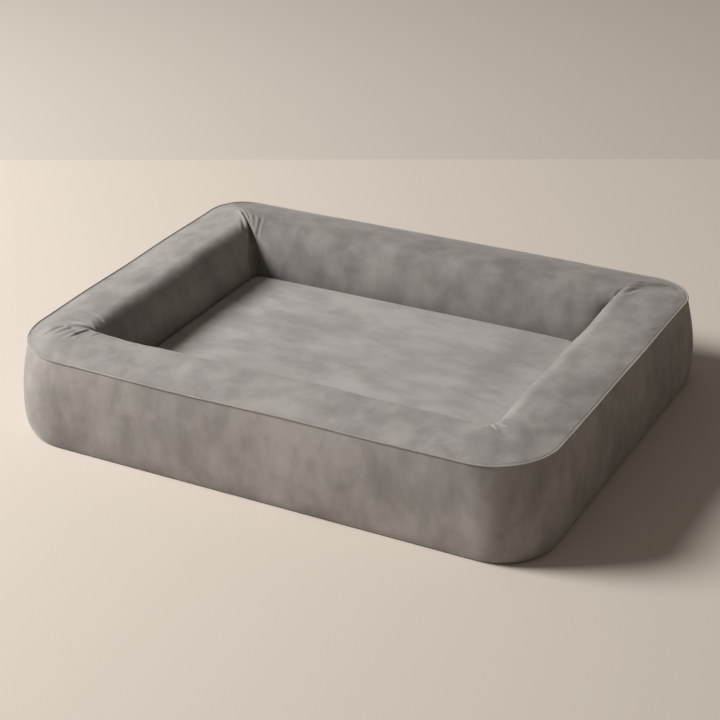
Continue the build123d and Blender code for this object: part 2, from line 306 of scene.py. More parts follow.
def through(points, count=40):
    """A smooth line through a few points."""
    p = np.array(points, float) * MM
    ends = np.concatenate([[2 * p[0] - p[1]], p, [2 * p[-1] - p[-2]]])
    line = []
    for a, b, c, d in zip(ends, ends[1:], ends[2:], ends[3:]):
        t = np.linspace(0, 1, count // (len(p) - 1), endpoint=False)[:, None]
        bent = (2 * a - 5 * b + 4 * c - d) * t**2 + (3 * b - a - 3 * c + d) * t**3
        line.append(0.5 * (2 * b + (c - a) * t + bent))
    return np.concatenate(line + [p[-1:]])


def fold_heights(points):
    """How far the folds lift or sink each point of the top, in metres."""
    total = np.zeros(points.shape[:-1])
    # Down the inner face the folds die out, before they reach the cushion.
    low_face = smooth_step((points[..., 2] - 118 * MM) / (35 * MM))
    for (short, long), folds in FOLDS.items():
        sign_x = 1 if short == "right" else -1
        sign_y = 1 if long == "back" else -1
        inset = np.stack([half_width - sign_x * points[..., 0], half_depth - sign_y * points[..., 1]], -1)
        near = (inset.max(-1) < FOLD_REACH) & (points[..., 2] > FOLD_FLOOR)
        spots = inset[near]
        height = np.zeros(len(spots))
        for kind, depth, width, route in folds:
            line = through(route)
            steps = line[1:] - line[:-1]
            offset = spots[:, None] - line[None, :-1]
            t = np.clip((offset * steps).sum(-1) / (steps**2).sum(-1), 0, 1)
            gap = offset - t[..., None] * steps
            distance = np.linalg.norm(gap, axis=-1)
            nearest = distance.argmin(1)
            pick = np.arange(len(spots)), nearest
            step = steps[nearest]
            side = np.sign(step[:, 0] * gap[pick][:, 1] - step[:, 1] * gap[pick][:, 0])
            d = distance[pick] / (width * MM)
            place = (nearest + t[pick]) / len(steps)
            fade = smooth_step(place / 0.12) * smooth_step((1 - place) / 0.55)
            if kind == "crease":
                # A sharp valley with a low round ridge on both sides.
                ridges = 0.36 * np.exp(-(((d - 1.9) / 1.2) ** 2)) + 0.1 * np.exp(-((d / 5) ** 2))
                shape = ridges - np.exp(-(np.abs(d) ** 1.2))
            else:
                # A tuck: full on one side, falling away steeply on the other.
                over = 0.5 - 0.5 * np.tanh(side * sign_x * sign_y * d / 0.4)
                shape = over * 0.8 * np.exp(-((d / 3.8) ** 2)) - (1 - over) * 0.7 * np.exp(-d / 1.8)
                fade = fade * smooth_step(place / 0.4)
            height += FOLD_STRENGTH * depth * MM * fade * shape
        total[near] += height
    return total * low_face


# The stuffing makes a knuckle of each corner, this high in mm.
KNUCKLES = {("left", "front"): 6.0, ("right", "back"): 2.5, ("left", "back"): 4.0}


def knuckles(points):
    """The fullness of the four corners, as a height over the plain ring."""
    total = np.zeros(points.shape[:-1])
    for (short, long), height in KNUCKLES.items():
        gap_x = half_width + (points[..., 0] if short == "left" else -points[..., 0])
        gap_y = half_depth + (points[..., 1] if long == "front" else -points[..., 1])
        off = (gap_x - KNUCKLE_PLACE) ** 2 + (gap_y - KNUCKLE_PLACE) ** 2
        total += height * MM * np.exp(-off / KNUCKLE_REACH**2)
    return total


def mitre_crease(points):
    """The seam in each of the well's corners draws the cloth in."""
    gap_x, gap_y = half_width - np.abs(points[..., 0]), half_depth - np.abs(points[..., 1])
    off_mitre = np.abs(gap_x - gap_y) / math.sqrt(2)
    inside = smooth_step((np.minimum(gap_x, gap_y) - 118 * MM) / (22 * MM))
    sharp = 8.5 * MM * np.exp(-off_mitre / (3.6 * MM))
    soft = 4.5 * MM * np.exp(-((off_mitre / (13 * MM)) ** 2))
    return -inside * (sharp + soft)


def lay_top(points, with_folds=True):
    """Fullness, folds and seams on the top panels."""
    normals = grid_normals(points, closed=True)
    gap = np.minimum(half_width - np.abs(points[..., 0]), half_depth - np.abs(points[..., 1]))
    from_welt = smooth_step((gap - welt_inset) / (22 * MM))
    above_pad = smooth_step((points[..., 2] - 70 * MM) / (45 * MM))
    # Loose filling shows as swells about 150 mm long, with smaller dents of 50 and 25 mm in them.
    lift = 1.5 * MM * ripple(points, 0.15, 11) + 0.6 * MM * ripple(points * (1.0, 1.0, 0.5), 0.052, 12)
    lift = lift + 0.22 * MM * ripple(points, 0.024, 14)
    lift = lift * from_welt * above_pad
    # The seam draws the cloth into a fine pucker just above the piping.
    pucker = 0.7 * MM * ripple(points, 0.017, 13) * np.exp(-(((gap - welt_inset) / (13 * MM)) ** 2))
    lift = lift + pucker * from_welt
    if with_folds:
        lift = lift + fold_heights(points) * from_welt
    lift = lift + mitre_crease(points) * above_pad + knuckles(points) * from_welt
    return settle(points + normals * lift[..., None])


def lay_wall(points):
    """A little slackness in the wall, quiet at the seam and round the zip."""
    normals = grid_normals(points, closed=True)
    z = points[..., 2]
    away = smooth_step((welt_height - z) / (30 * MM)) * smooth_step((z - 4 * MM) / (30 * MM))
    # Seen along the wall the slack is in upright waves, about three times as tall as wide.
    drape = points * (1.0, 1.0, 0.35)
    lift = 1.3 * MM * ripple(drape, 0.16, 21) + 0.5 * MM * ripple(drape, 0.05, 22)
    near_zip = (points[..., 1] > half_depth - 20 * MM) * smooth_step((0.36 - np.abs(points[..., 0])) / 0.03)
    near_zip = near_zip * smooth_step((95 * MM - z) / (25 * MM))
    return settle(points + normals * (lift * away * (1 - near_zip))[..., None])


# ---- materials ----
def start_material(name, slot_values):
    material = bpy.data.materials.new(name)
    material.use_nodes = True
    tree = material.node_tree
    shader = tree.nodes["Principled BSDF"]
    for key, value in slot_values.items():
        shader.inputs[key].default_value = value
    return material, tree, shader


PATCH, STROKE = 100 * MM, 29.4 * MM  # where the pile lies one way, and the finer strokes inside
PILE = 1.39 * MM  # the real pile is under 0.2 mm; it is drawn this coarse so that it shows at all
CLOUD = 62.5 * MM  # slow unevenness in woven and foamed stuff


def microsuede(name, stretch, dark, light):
    """Brushed polyester microsuede. Its short pile lies this way and that, so the cloth shows soft
    darker and paler patches, no weave, a matt face and a pale bloom where it turns from the eye."""
    bloom = {"Sheen Weight": 0.32, "Sheen Roughness": 0.42, "Sheen Tint": linear("#F1ECE6")}
    material, tree, shader = start_material(name, {**bloom, "Specular IOR Level": 0.25})
    place = add_node(tree, "ShaderNodeTexCoord").outputs["Object"]
    drawn = add_node(tree, "ShaderNodeMapping", {"Scale": stretch}, {"Vector": place}).outputs["Vector"]
    blur = {"Detail": 3.5, "Roughness": 0.55}
    wide = {**blur, "Scale": 1 / PATCH, "Distortion": 0.2}
    patches = add_node(tree, "ShaderNodeTexNoise", wide, {"Vector": drawn}).outputs["Fac"]
    narrow = {**blur, "Scale": 1 / STROKE, "Distortion": 0.25}
    strokes = add_node(tree, "ShaderNodeTexNoise", narrow, {"Vector": drawn}).outputs["Fac"]
    pile = add_node(
        tree, "ShaderNodeTexNoise", {"Scale": 1 / PILE, "Detail": 2.0, "Roughness": 0.7}, {"Vector": place}
    ).outputs["Fac"]
    both = add_node(tree, "ShaderNodeMix", {0: 0.42}, {2: patches, 3: strokes}, data_type="FLOAT").outputs[0]
    span = {"From Min": 0.33, "From Max": 0.67}
    nap = add_node(
        tree, "ShaderNodeMapRange", span, {"Value": both}, interpolation_type="SMOOTHSTEP"
    ).outputs["Result"]
    cloth = add_node(
        tree, "ShaderNodeMix", {6: linear(dark), 7: linear(light)}, {0: nap}, data_type="RGBA"
    ).outputs[2]
    span = {"From Min": 0.25, "From Max": 0.75, "To Min": 0.93, "To Max": 1.06}
    speck = add_node(tree, "ShaderNodeMapRange", span, {"Value": pile}).outputs["Result"]
    shade = add_node(tree, "ShaderNodeVectorMath", {}, {0: cloth, 1: speck}, operation="MULTIPLY")
    tree.links.new(shade.outputs["Vector"], shader.inputs["Base Color"])
    rough = add_node(
        tree, "ShaderNodeMapRange", {"To Min": 0.92, "To Max": 0.78}, {"Value": nap}
    ).outputs["Result"]
    tree.links.new(rough, shader.inputs["Roughness"])
    soft = add_node(
        tree, "ShaderNodeBump", {"Strength": 0.5, "Distance": 0.9 * MM}, {"Height": strokes}
    ).outputs["Normal"]
    fine = add_node(
        tree, "ShaderNodeBump", {"Strength": 0.5, "Distance": 0.35 * MM}, {"Height": pile, "Normal": soft}
    ).outputs["Normal"]
    tree.links.new(fine, shader.inputs["Normal"])
    return material


def woven(name, warp, weft, thread_mm, roughness, lift_mm):
    """Plain-woven cloth: threads over and under each other, seen as a small regular grain."""
    material, tree, shader = start_material(name, {"Roughness": roughness, "Specular IOR Level": 0.3})
    place = add_node(tree, "ShaderNodeTexCoord").outputs["Object"]
    turns = 1 / (thread_mm * MM)
    split = add_node(tree, "ShaderNodeSeparateXYZ", {}, {0: place})
    waves = []
    for axis, shift in (("X", 0.0), ("Y", 0.25), ("Z", 0.5)):
        count = add_node(
            tree, "ShaderNodeMath", {1: turns, 2: shift}, {0: split.outputs[axis]}, operation="MULTIPLY_ADD"
        ).outputs[0]
        angle = add_node(
            tree, "ShaderNodeMath", {1: 2 * math.pi}, {0: count}, operation="MULTIPLY"
        ).outputs[0]
        waves.append(add_node(tree, "ShaderNodeMath", {}, {0: angle}, operation="SINE").outputs[0])
    across = add_node(tree, "ShaderNodeMath", {}, {0: waves[0], 1: waves[1]}, operation="MULTIPLY").outputs[0]
    grain = add_node(tree, "ShaderNodeMath", {}, {0: across, 1: waves[2]}, operation="ADD").outputs[0]
    worn = add_node(
        tree, "ShaderNodeTexNoise", {"Scale": 1 / CLOUD, "Detail": 3.0}, {"Vector": place}
    ).outputs["Fac"]
    level = add_node(
        tree, "ShaderNodeMapRange", {"From Min": -1.2, "From Max": 1.2}, {"Value": grain}
    ).outputs["Result"]
    mixed = add_node(tree, "ShaderNodeMix", {0: 0.35}, {2: level, 3: worn}, data_type="FLOAT").outputs[0]
    colour = add_node(
        tree, "ShaderNodeMix", {6: linear(warp), 7: linear(weft)}, {0: mixed}, data_type="RGBA"
    ).outputs[2]
    tree.links.new(colour, shader.inputs["Base Color"])
    bump = add_node(tree, "ShaderNodeBump", {"Strength": 0.6, "Distance": lift_mm * MM}, {"Height": level})
    tree.links.new(bump.outputs["Normal"], shader.inputs["Normal"])
    return material


def cellular(name, dark, light, cell_mm, roughness, lift_mm):
    """Open-cell foam or loose fibre: a matt face full of small pores, their centres painted darker as shade
    inside them, over an uneven cloudy tone.
    """
    material, tree, shader = start_material(name, {"Roughness": roughness, "Specular IOR Level": 0.2})
    place = add_node(tree, "ShaderNodeTexCoord").outputs["Object"]
    cells = add_node(
        tree, "ShaderNodeTexVoronoi", {"Scale": 1 / (cell_mm * MM)}, {"Vector": place}
    ).outputs["Distance"]
    cloud = add_node(
        tree, "ShaderNodeTexNoise", {"Scale": 1 / CLOUD, "Detail": 4.0}, {"Vector": place}
    ).outputs["Fac"]
    pore_shade_and_cloud = add_node(tree, "ShaderNodeMix", {0: 0.4}, {2: cells, 3: cloud}, data_type="FLOAT").outputs[0]
    # The cell centres come out darker as painted shade in the pores; the cloud adds uneven tone.
    colour = add_node(
        tree, "ShaderNodeMix", {6: linear(dark), 7: linear(light)}, {0: pore_shade_and_cloud}, data_type="RGBA"
    ).outputs[2]
    tree.links.new(colour, shader.inputs["Base Color"])
    bump = add_node(tree, "ShaderNodeBump", {"Strength": 0.7, "Distance": lift_mm * MM}, {"Height": cells})
    tree.links.new(bump.outputs["Normal"], shader.inputs["Normal"])
    return material


def hard_finish(name, dark, light, roughness, metallic, grain_mm):
    """A small hard part, painted or moulded, with a slightly uneven face."""
    material, tree, shader = start_material(name, {"Metallic": metallic})
    place = add_node(tree, "ShaderNodeTexCoord").outputs["Object"]
    grain = add_node(
        tree, "ShaderNodeTexNoise", {"Scale": 1 / (grain_mm * MM), "Detail": 3.0}, {"Vector": place}
    ).outputs["Fac"]
    colour = add_node(
        tree, "ShaderNodeMix", {6: linear(dark), 7: linear(light)}, {0: grain}, data_type="RGBA"
    ).outputs[2]
    tree.links.new(colour, shader.inputs["Base Color"])
    rough = add_node(
        tree, "ShaderNodeMapRange", {"To Min": roughness - 0.08, "To Max": roughness + 0.1}, {"Value": grain}
    ).outputs["Result"]
    tree.links.new(rough, shader.inputs["Roughness"])
    bump = add_node(tree, "ShaderNodeBump", {"Strength": 0.25, "Distance": 0.05 * MM}, {"Height": grain})
    tree.links.new(bump.outputs["Normal"], shader.inputs["Normal"])
    return material


# Brushed down the wall: the eye sees tall soft patches, paler where the pile catches the light.
wall_suede = microsuede("microsuede, pile brushed downwards", (1.0, 1.0, 0.62), "#85817E", "#A09B97")
# Stroked over the roll: rounder patches, a little paler than the wall.
top_suede = microsuede("microsuede, pile brushed over the bolster", (0.8, 0.8, 0.6), "#84807D", "#9D9894")
# The same cloth with its pile turned away, its colour painted a shade darker: painted shade for the back
# bolster.
back_suede_painted_shade = microsuede("microsuede, painted darker as shade on the back bolster", (0.8, 0.8, 0.6), "#716D6A", "#8C8783")
# Stroked along the cushion: long quiet streaks from left to right.
pad_suede = microsuede("microsuede, pile brushed lengthwise", (0.55, 1.0, 1.0), "#8B8784", "#A39F9B")
# Stretched over the cord and painted a shade paler than the top cloth: a painted highlight, so the piping
# reads as a thin pale line.
piping_suede_painted_highlight = microsuede(
    "microsuede, cut on the bias round the piping", (1.0, 1.0, 1.0), "#8B8681", "#A19C97"
)
# Twisted from cut fibre: small, dull, slightly paler dashes.
sewing_thread = woven("spun polyester thread", "#8A827B", "#B3ABA4", 0.5, 0.6, 0.1)
# Woven, then coated: an almost black ground with a faint grid.
non_slip_cloth = woven("coated non-slip base cloth", "#2C2A28", "#3B3835", 1.6, 0.75, 0.15)
# Plain woven: a dry dark grey with an even small grain.
pad_base_cloth = woven("plain woven polyester", "#55504B", "#6C6660", 1.4, 0.85, 0.2)
# Woven narrow on a tape loom: flat, fine-ribbed, a shade darker than the cover.
zip_tape_cloth = woven("woven polyester zip tape", "#68625D", "#817A74", 0.9, 0.8, 0.1)
# Knitted, with film laid on the back: off-white with a weak gleam.
liner_knit = woven("film-backed waterproof knit", "#C9C8C4", "#DEDDD9", 1.8, 0.55, 0.15)
# Carded fibre bonded by heat: white, cloudy and without a hard face.
wadding_fibre = cellular("bonded polyester wadding", "#D9D6CE", "#F1EFEA", 3.0, 0.95, 0.8)
# Foamed and cut with a hot wire: cream, full of small open pores.
support_cells = cellular("open-cell polyurethane foam", "#D8CFAF", "#EFE8CF", 1.6, 0.9, 0.5)
# Moulded dense: pale blue, with pores too fine to see one by one.
memory_cells = cellular("slow-recovery foam", "#B9CBCF", "#D6E2E4", 1.2, 0.9, 0.3)
# Screen-printed and cured: low black drops with a soft shine.
grip_silicone = hard_finish("printed silicone dots", "#1D1C1B", "#2A2827", 0.5, 0.0, 0.8)
# Extruded, then coiled round a cord: dark grey loops with a narrow gleam each.
coil_nylon = hard_finish("nylon zip coil", "#4A4540", "#5C5650", 0.42, 0.0, 0.5)
# Die-cast, tumbled and painted: dark, slightly glossy, brighter on its worn edges.
zip_metal = hard_finish("die-cast zinc, painted", "#3C3835", "#4A4541", 0.34, 0.6, 0.7)


# ---- the ring ----
top_points, starts = ring_points(top_line(), top_radius)
top_points = lay_top(top_points)
top_normals = grid_normals(top_points, closed=True)
# The back panel takes the darker cloth: its colour is painted shade.
TOP_CLOTH = {"front": top_suede, "right": top_suede, "back": back_suede_painted_shade, "left": top_suede}
ends = starts[1:] + [len(top_points)]
for index, name in enumerate(SIDES):
    rows = np.arange(starts[index], ends[index] + 1) % len(top_points)
    laid, normals = top_points[rows], top_normals[rows]
    cover = cloth_piece(f"bolster_cover_{name}", laid, normals, TOP_CLOTH[name], "surround", "cover_cloth")
    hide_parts(f"bolster_panel_{name}")

# The wall, with the slot for the ring's zip in its rear.
slot_middle = (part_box("cover_zip_coil_lower")[0].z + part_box("cover_zip_coil_upper")[1].z) / 2
SLOT_HALF = 6 * MM
TAPE_EASE = 8 * MM  # over this distance the wall goes back from the tapes to its own shape
slot_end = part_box("cover_zip_tape_upper")[1].x
wall = wall_line()
for edge in (slot_middle - SLOT_HALF, slot_middle + SLOT_HALF):
    wall[np.abs(wall[:, 1] - edge).argmin(), 1] = edge  # a row of points along each lip of the slot
flat_points, _ = ring_points(wall, wall_radius)
wall_points = lay_wall(flat_points)
columns = np.arange(starts[2], starts[3])
columns = columns[columns % 2 == 0]  # the mesh keeps only every second column
slot_row = np.abs(wall[:, 1] - slot_middle).argmin()
near_slot = np.exp(-(((wall[:, 1] - slot_middle) / (28 * MM)) ** 4))
for edge in (-slot_end, slot_end):
    column = columns[np.abs(flat_points[columns, slot_row, 0] - edge).argmin()]
    nudge = (edge - flat_points[column, :, 0]) * near_slot
    wall_points[column, :, 0] += nudge
    flat_points[column, :, 0] += nudge
# However the wall lies elsewhere, over the zip it stays outside the tapes.
tape_low, tape_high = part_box("cover_zip_tape_lower")[0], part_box("cover_zip_tape_upper")[1]
above_tape = smooth_step((wall_points[..., 2] - tape_low.z + TAPE_EASE) / (7 * MM))
below_tape = smooth_step((tape_high.z + TAPE_EASE - wall_points[..., 2]) / (7 * MM))
beside_tape = smooth_step((slot_end + 12 * MM - np.abs(wall_points[..., 0])) / (10 * MM))
sunk = np.clip(tape_high.y + CLOTH + 0.3 * MM - wall_points[..., 1], 0, 6 * MM) * (wall_points[..., 1] > 0)
wall_points[..., 1] += sunk * above_tape * below_tape * beside_tape
sparse, sparse_laid = flat_points[::2], wall_points[::2]
middle = (sparse + np.roll(sparse, -1, 0))[:, :-1] / 4 + (sparse + np.roll(sparse, -1, 0))[:, 1:] / 4
in_slot = (middle[..., 1] > half_depth - 9 * MM) & (np.abs(middle[..., 0]) < slot_end - 0.3 * MM)
in_slot = in_slot & (np.abs(middle[..., 2] - slot_middle) < SLOT_HALF)
wall_normals = grid_normals(sparse_laid, closed=True)
wall_cover = cloth_piece(
    "wall_cover", sparse_laid, wall_normals, wall_suede, "surround", "cover_cloth", closed=True, keep=~in_slot
)
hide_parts("wall_band")


# ---- the wadding under the cover ----
def skin(flat, laid, depth, limit):
    """The laid surface sunk by a depth, but never deeper under the flat one than the limit."""
    normals = grid_normals(flat, closed=True)
    lift = ((laid - flat) * normals).sum(-1)
    return flat + normals * np.clip(lift - depth, -limit, None)[..., None]


# The wadding needs no more than every second or third row of the cover's points.
WALL_ROWS = np.r_[0:14:2, 15:36:3]
TOP_ROWS = np.r_[2:88:3, 88]
WADDING_DEPTH = 14.2 * MM  # from the cover's plain shape to the foam
flat_top, _ = ring_points(top_line(), top_radius)
plain_top = lay_top(flat_top, with_folds=False)
# Under the gathers near the corners the wadding is pressed deeper.
corner_place = 0.11
beside_x = half_width - corner_place - np.abs(flat_top[..., 0])
beside_y = half_depth - corner_place - np.abs(flat_top[..., 1])
pressed = 9 * MM * np.exp(-((np.hypot(beside_x, beside_y) / 0.15) ** 4))
wall_skin = skin(flat_points, wall_points, CLOTH + 1.2 * MM, 13 * MM)
top_skin = skin(flat_top, plain_top, CLOTH + 1.8 * MM + pressed, 13.4 * MM)
outer_skin = np.concatenate([wall_skin[:, WALL_ROWS], top_skin[:, TOP_ROWS]], 1)
outer_skin[:, 0, 2] = base_top + 1.0 * MM
outer_skin[:, -1, 2] = base_top + 1.0 * MM
whole_section = np.concatenate([flat_points[:, WALL_ROWS], flat_top[:, TOP_ROWS]], 1)
inner_skin = whole_section - grid_normals(whole_section, closed=True) * WADDING_DEPTH
inner_skin[:, 0, 2] = inner_skin[:, -1, 2] = base_top + 12 * MM
# Behind the zip the wadding gives way to the tape and the slider.
in_pocket = (np.abs(outer_skin[..., 0]) < slot_end + 1 * MM) & (outer_skin[..., 1] > half_depth - 12 * MM)
in_pocket = in_pocket & (np.abs(outer_skin[..., 2] - slot_middle) < 18 * MM)
outer_skin[in_pocket, 1] = half_depth - 10.5 * MM
for index, name in enumerate(SIDES):
    rows = np.arange(starts[index], ends[index] + 1, 2) % len(top_points)
    loop = np.concatenate([outer_skin[rows], inner_skin[rows][:, ::-1]], 1)
    loop = np.concatenate([loop, loop[:, :1]], 1)
    count, around = loop.shape[:2]
    faces = [tuple(f) for f in grid_faces(count, around)]
    half = around // 2
    for row, flip in ((0, 1), (count - 1, -1)):
        for k in range(half - 1):
            near, far = row * around + k, row * around + around - 2 - k
            faces.append((near, near + 1, far - 1, far)[::flip])
    wrap = piece(f"wadding_{name}", loop.reshape(-1, 3), faces, wadding_fibre, "surround", "wadding")
    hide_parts(f"bolster_wadding_{name}")


def tube(line, radius, sides=10):
    """Points and faces of a closed round cord along a closed line."""
    ahead = np.roll(line, -1, 0) - np.roll(line, 1, 0)
    ahead /= np.linalg.norm(ahead, axis=1, keepdims=True)
    out = np.cross(ahead, (0, 0, 1.0))
    out /= np.linalg.norm(out, axis=1, keepdims=True)
    up = np.cross(out, ahead)
    turn = np.linspace(0, 2 * math.pi, sides, endpoint=False)
    ring = np.cos(turn)[None, :, None] * out[:, None] + np.sin(turn)[None, :, None] * up[:, None]
    points = line[:, None] + radius * ring
    i, j = np.meshgrid(np.arange(len(line)), np.arange(sides), indexing="ij")
    i, j = i.ravel(), j.ravel()
    k, l = (i + 1) % len(line), (j + 1) % sides
    faces = np.stack([i * sides + j, k * sides + j, k * sides + l, i * sides + l], 1)
    return points.reshape(-1, 3), faces[:, ::-1]


welt_line, _ = ring_points(np.array([[welt_inset - 0.5 * MM, welt_height + 0.4 * MM]]), wall_radius)
welt_line = settle(welt_line)[:, 0]
cord = tube(welt_line, 0.85 * piping_radius)
# The piping cord takes the paler cloth: a painted highlight along the welt.
edge_cord = piece("edge_cord", *cord, piping_suede_painted_highlight, "surround", "cover_cloth")
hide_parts("edge_piping")


# The hem where the wall is sewn to the base cloth shows as a fine cord along the foot, in the paler piping
# cloth: a painted highlight.
HEM_HEIGHT, HEM_RADIUS = 3.2 * MM, 1.0 * MM
hem_inset = np.interp(HEM_HEIGHT, wall[:, 1], wall[:, 0]) - 0.2 * MM
hem_line, _ = ring_points(np.array([[hem_inset, HEM_HEIGHT]]), wall_radius)
piece("foot_hem", *tube(hem_line[::2, 0], HEM_RADIUS, 8), piping_suede_painted_highlight, "surround", "cover_cloth")


def stitches(line, pitch, length, radius, lift):
    """Separate thread stitches along a closed line: short capsules sunk at both ends."""
    gaps = np.linalg.norm(np.roll(line, -1, 0) - line, axis=1)
    run = np.concatenate([[0], np.cumsum(gaps)])
    closed_line = np.concatenate([line, line[:1]])
    count = int(run[-1] / pitch)
    points, faces = [], []
    profile = [(-0.5, 0.15, -0.6), (-0.3, 0.9, 0.0), (0.0, 1.0, 0.25), (0.3, 0.9, 0.0), (0.5, 0.15, -0.6)]
    turn = np.linspace(0, 2 * math.pi, 6, endpoint=False)
    for number in range(count):
        at = (number + 0.5) * run[-1] / count
        here = np.array([np.interp(at, run, closed_line[:, a]) for a in range(3)])
        there = np.array([np.interp((at + length / 4) % run[-1], run, closed_line[:, a]) for a in range(3)])
        ahead = there - here
        ahead /= np.linalg.norm(ahead) + 1e-12
        side = np.cross(ahead, lift)
        side /= np.linalg.norm(side) + 1e-12
        up = np.cross(side, ahead)
        base = len(points)
        for along, width, rise in profile:
            centre = here + ahead * along * length + up * rise * radius
            for angle in turn:
                points.append(centre + radius * width * (math.cos(angle) * side + math.sin(angle) * up))
        for ring in range(len(profile) - 1):
            for k in range(6):
                a, b = base + ring * 6 + k, base + ring * 6 + (k + 1) % 6
                faces.append((a, b, b + 6, a + 6))
        faces.append(tuple(base + k for k in range(5, -1, -1)))
        faces.append(tuple(base + (len(profile) - 1) * 6 + k for k in range(6)))
    return points, faces


# The row of top stitching that holds the seam allowance down, just above the piping.
stitch_row = np.abs(top_line()[:, 0] - welt_inset - 4.5 * MM).argmin()
stitch_line = top_points[:, stitch_row] + (0, 0, 0.15 * MM)
STITCH_PITCH, STITCH_LENGTH, THREAD_RADIUS = 4.2 * MM, 3.0 * MM, 0.35 * MM
row_of_stitches = stitches(stitch_line, STITCH_PITCH, STITCH_LENGTH, THREAD_RADIUS, (0, 0, 1.0))
piece("edge_stitching", *row_of_stitches, sewing_thread, "surround", "cover_cloth")

# ---- the base cloth and its grip dots ----
base_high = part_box("base_panel")[1]
DOT_HEIGHT = 0.6 * MM
DOT_SIDES = 10
DOT_MARGIN = 30 * MM       # no dots this near to the edge
BASE_CORNER = 88 * MM      # the base cloth's corner radius


def slab(outline, low, high):
    """A flat sheet of cloth with that outline."""
    count = len(outline)
    points = [(x, y, low) for x, y in outline] + [(x, y, high) for x, y in outline]
    faces = [tuple(range(count - 1, -1, -1)), tuple(range(count, 2 * count))]
    faces += [(i, (i + 1) % count, count + (i + 1) % count, count + i) for i in range(count)]
    return points, faces


foot_line, _ = ring_points(np.array([[FOOT_INSET + 6 * MM, 0.0]]), wall_radius)
base_outline = foot_line[:, 0, :2]
sheet = slab(base_outline, DOT_HEIGHT, base_high.z)
base_cloth = piece("base_cloth", *sheet, non_slip_cloth, "surround", "base_cloth", smooth=False)
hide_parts("base_panel")


def grip_dots(pitch, radius):
    """Round dots in staggered rows on the underside."""
    turn = np.linspace(0, 2 * math.pi, DOT_SIDES, endpoint=False)
    points, faces = [], []
    row_pitch = pitch * 0.866
    rows = int((base_high.y - DOT_MARGIN) / row_pitch)
    columns = int((base_high.x - DOT_MARGIN) / pitch)
    for row in range(-rows, rows + 1):
        shift = pitch / 2 if row % 2 else 0
        for column in range(-columns, columns + 1):
            x, y = column * pitch + shift, row * row_pitch
            past_x = max(abs(x) - base_high.x + BASE_CORNER, 0)
            past_y = max(abs(y) - base_high.y + BASE_CORNER, 0)
            if x > base_high.x - 24 * MM or math.hypot(past_x, past_y) > BASE_CORNER - 12 * MM:
                continue
            base = len(points)
            for height, width in ((DOT_HEIGHT, 1.0), (0.2 * MM, 0.92), (0.0, 0.6)):
                wide = radius * width
                points += [(x + wide * math.cos(a), y + wide * math.sin(a), height) for a in turn]
            for ring in (base, base + DOT_SIDES):
                for k in range(DOT_SIDES):
                    a, b = ring + k, ring + (k + 1) % DOT_SIDES
                    faces.append((a, a + DOT_SIDES, b + DOT_SIDES, b))
            faces.append(tuple(base + 2 * DOT_SIDES + k for k in reversed(range(DOT_SIDES))))
            faces.append(tuple(base + k for k in range(DOT_SIDES)))
    return points, faces


DOT_PITCH, DOT_RADIUS = 26 * MM, 3.2 * MM
piece("grip_dots", *grip_dots(DOT_PITCH, DOT_RADIUS), grip_silicone, "surround", "base_cloth")

# ---- the cushion ----
PAD_CORNER = 28 * MM
PAD_SOFT_CORNER = 58 * MM  # the cushion's back right corner is worn rounder and lower
PAD_TOP_ROUND = 17 * MM
PAD_FOOT_ROUND = 8 * MM
PAD_CROWN = 3.5 * MM
PAD_CORNER_DROOP = 7 * MM
pad_half = np.array([pad_high.x, pad_high.y])


def pad_corner(x, y):
    """The radius of the cushion corner that a plan point belongs to."""
    return np.where((x > 0) & (y > 0), PAD_SOFT_CORNER, PAD_CORNER)


def cushion_grid(columns=176, rows=116, inset=0.0):
    """Plan points over the cushion, square in the middle and following its round corners."""
    half_x, half_y = pad_half[0] - inset, pad_half[1] - inset

    def spread(count, half):
        """Places from edge to edge, closer together towards both edges."""
        widest = math.pi / 2 * 0.82
        return half * np.sin(np.linspace(-1, 1, count) * widest) / math.sin(widest)

    x, y = np.meshgrid(spread(columns, half_x), spread(rows, half_y), indexing="ij")
    radius = pad_corner(x, y) - inset
    i = np.clip((np.abs(x) - half_x + radius) / radius, 0, 1)
    j = np.clip((np.abs(y) - half_y + radius) / radius, 0, 1)
    corner = (i > 0) & (j > 0)
    round_x = half_x - radius + radius * i * np.sqrt(1 - j * j / 2)
    round_y = half_y - radius + radius * j * np.sqrt(1 - i * i / 2)
    return np.where(corner, np.sign(x) * round_x, x), np.where(corner, np.sign(y) * round_y, y)


def edge_distance(x, y):
    """How far inside the cushion's outline a plan point is."""
    radius = pad_corner(x, y)
    i, j = np.abs(x) - pad_half[0] + radius, np.abs(y) - pad_half[1] + radius
    corner = (i > 0) & (j > 0)
    straight = np.minimum(pad_half[0] - np.abs(x), pad_half[1] - np.abs(y))
    return np.where(corner, radius - np.hypot(i, j), straight)


def rounded_drop(distance, radius):
    """How far a rounded edge has fallen at that distance in from it."""
    inside = np.clip(radius - distance, 0, radius)
    return radius - np.sqrt(np.maximum(radius**2 - inside**2, 0))


def cushion_height(x, y):
    """The cushion's top: rounded edges, a slight crown, low corners and gentle unevenness."""
    distance = np.maximum(edge_distance(x, y), 0)
    flat = np.stack([x, y, np.zeros_like(x)], -1)
    inside = smooth_step(distance / (70 * MM))
    from_corner = (pad_half[0] - np.abs(x)) ** 2 + (pad_half[1] - np.abs(y)) ** 2
    corner = np.exp(-(from_corner / (110 * MM) ** 2))
    crown = PAD_CROWN * smooth_step(distance / (150 * MM))
    z = pad_high.z - 1 * MM - rounded_drop(distance, PAD_TOP_ROUND) + crown
    worn = 0.3 + 0.7 * smooth_step(x / 0.1) * smooth_step(y / 0.1)
    z = z - PAD_CORNER_DROOP * corner * worn * inside**0.5
    z = z + inside * (1.3 * MM * ripple(flat, 0.19, 31) + 0.5 * MM * ripple(flat * (1.0, 1.6, 1.0), 0.07, 32))
    return z


